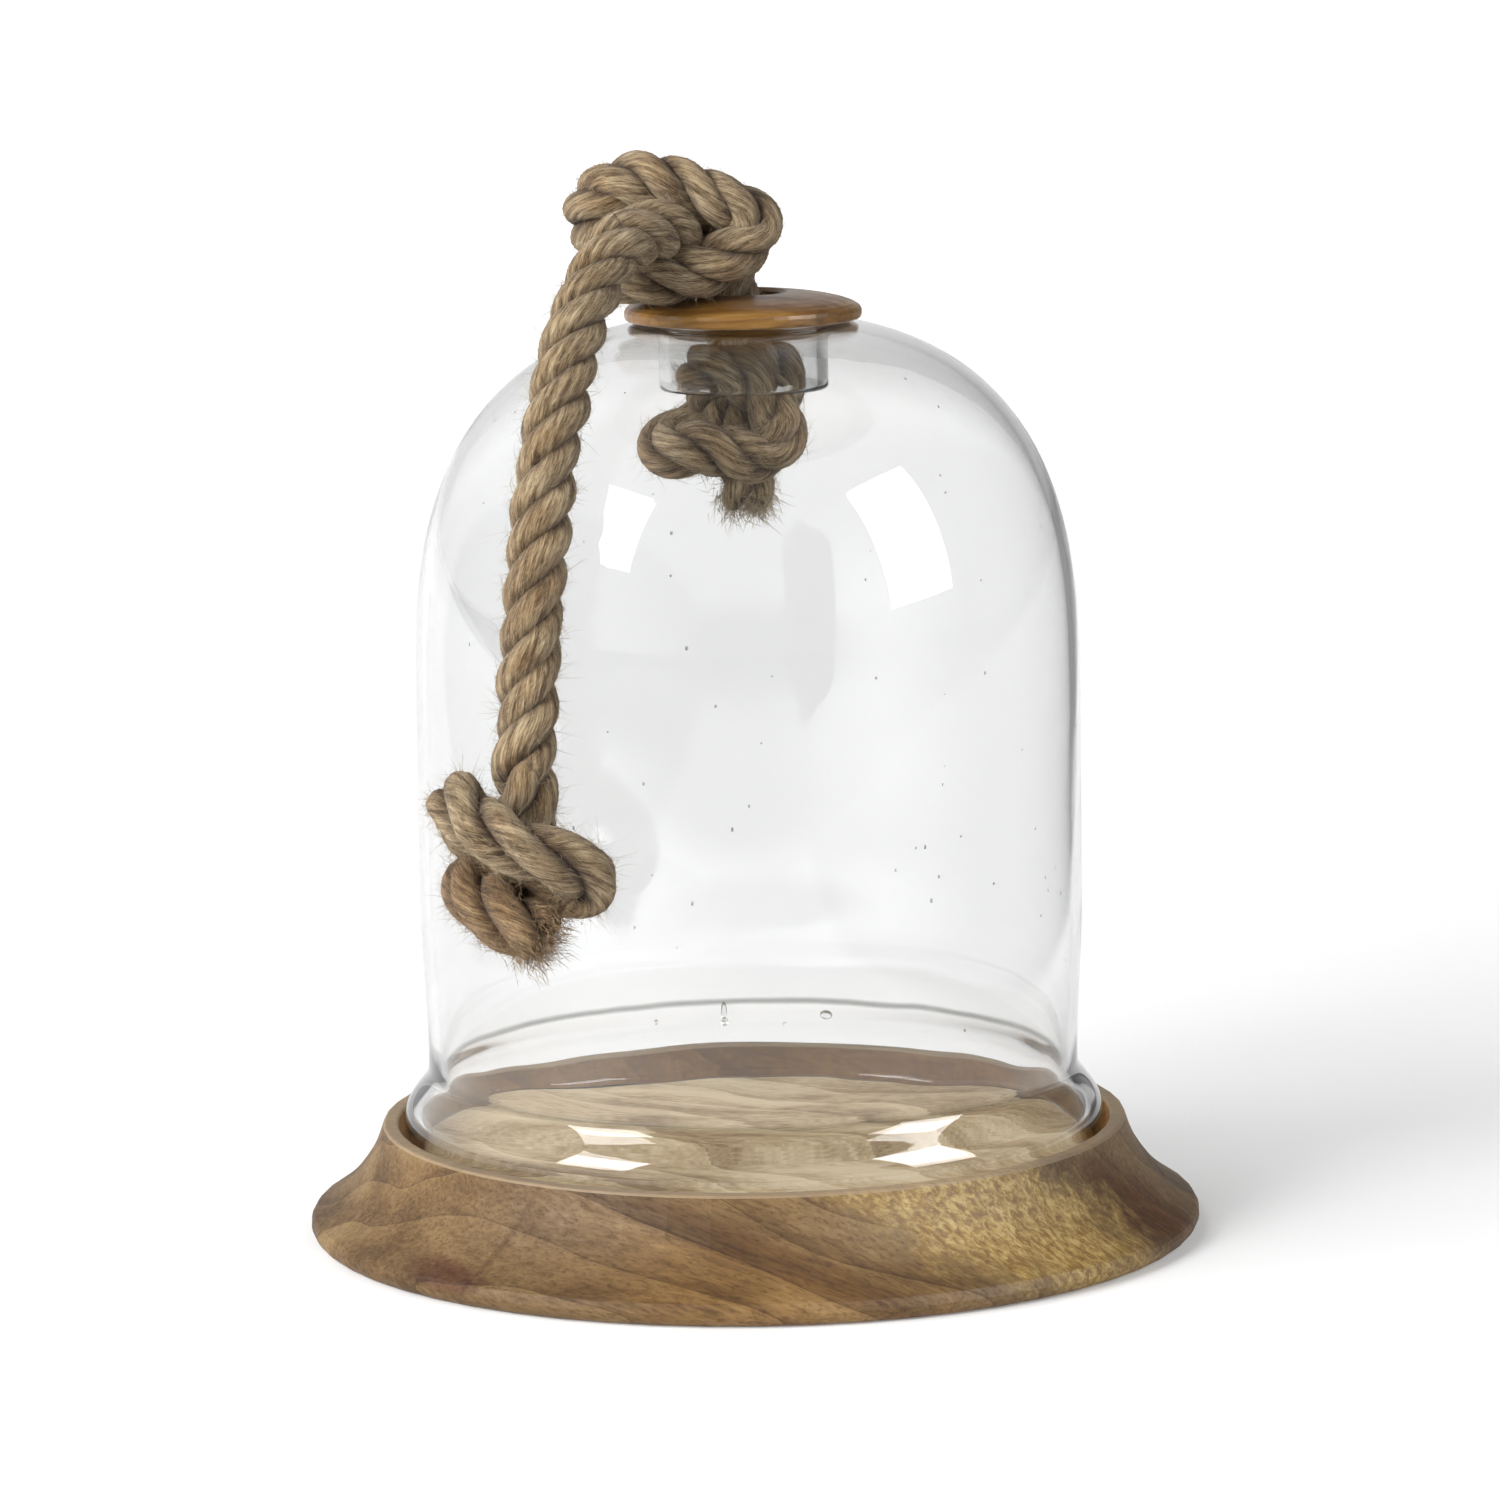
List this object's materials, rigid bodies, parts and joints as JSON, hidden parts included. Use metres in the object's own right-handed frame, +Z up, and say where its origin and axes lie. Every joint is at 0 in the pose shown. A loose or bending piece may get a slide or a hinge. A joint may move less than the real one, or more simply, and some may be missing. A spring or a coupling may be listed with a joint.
{
  "type": "bell jar dome",
  "caption": "Blown glass bell dome on a recessed turned wooden base, with a loose wooden lid disc and a knotted rope handle through its neck.",
  "frame": {"origin": "centre of the base's flat underside", "axes": "+Z up along the common axis of base, dome and lid; -Y towards the side the rope handle hangs on, a little towards -X"},
  "size_m": [0.27, 0.27, 0.3285],
  "materials": {
    "base_wood": "turned mango wood, satin wax, figured grain with pale spalting",
    "clear_glass": "clear blown glass, glossy, a few seeds",
    "lid_wood": "turned amber wood, semi-gloss",
    "jute_rope": "three-strand jute rope, matt and hairy"
  },
  "bodies": {
    "base": {"base": "base_wood"},
    "dome": {"glass_dome": "clear_glass"},
    "lid": {"lid": "lid_wood"},
    "rope": {"rope_shank": "jute_rope", "inner_knot": "jute_rope", "top_knot": "jute_rope"},
    "tail": {"rope_tail": "jute_rope", "end_knot": "jute_rope"}
  },
  "joints": [
    {"name": "dome_lift", "type": "slide", "parent": "base", "child": "dome", "axis": [0, 0, 1], "range_m": [0, 0.3]},
    {"name": "lid_turn", "type": "hinge", "parent": "dome", "child": "lid", "pos_m": [0, 0, 0.2762], "axis": [0, 0, 1], "continuous": true},
    {"name": "rope_lift", "type": "slide", "parent": "lid", "child": "rope", "axis": [0, 0, 1], "range_m": [0, 0.003]},
    {"name": "tail_swing", "type": "hinge", "parent": "rope", "child": "tail", "pos_m": [-0.033, -0.0382, 0.3045], "axis": [-0.829, 0.5592, 0], "range_deg": [0, 70]}
  ]
}
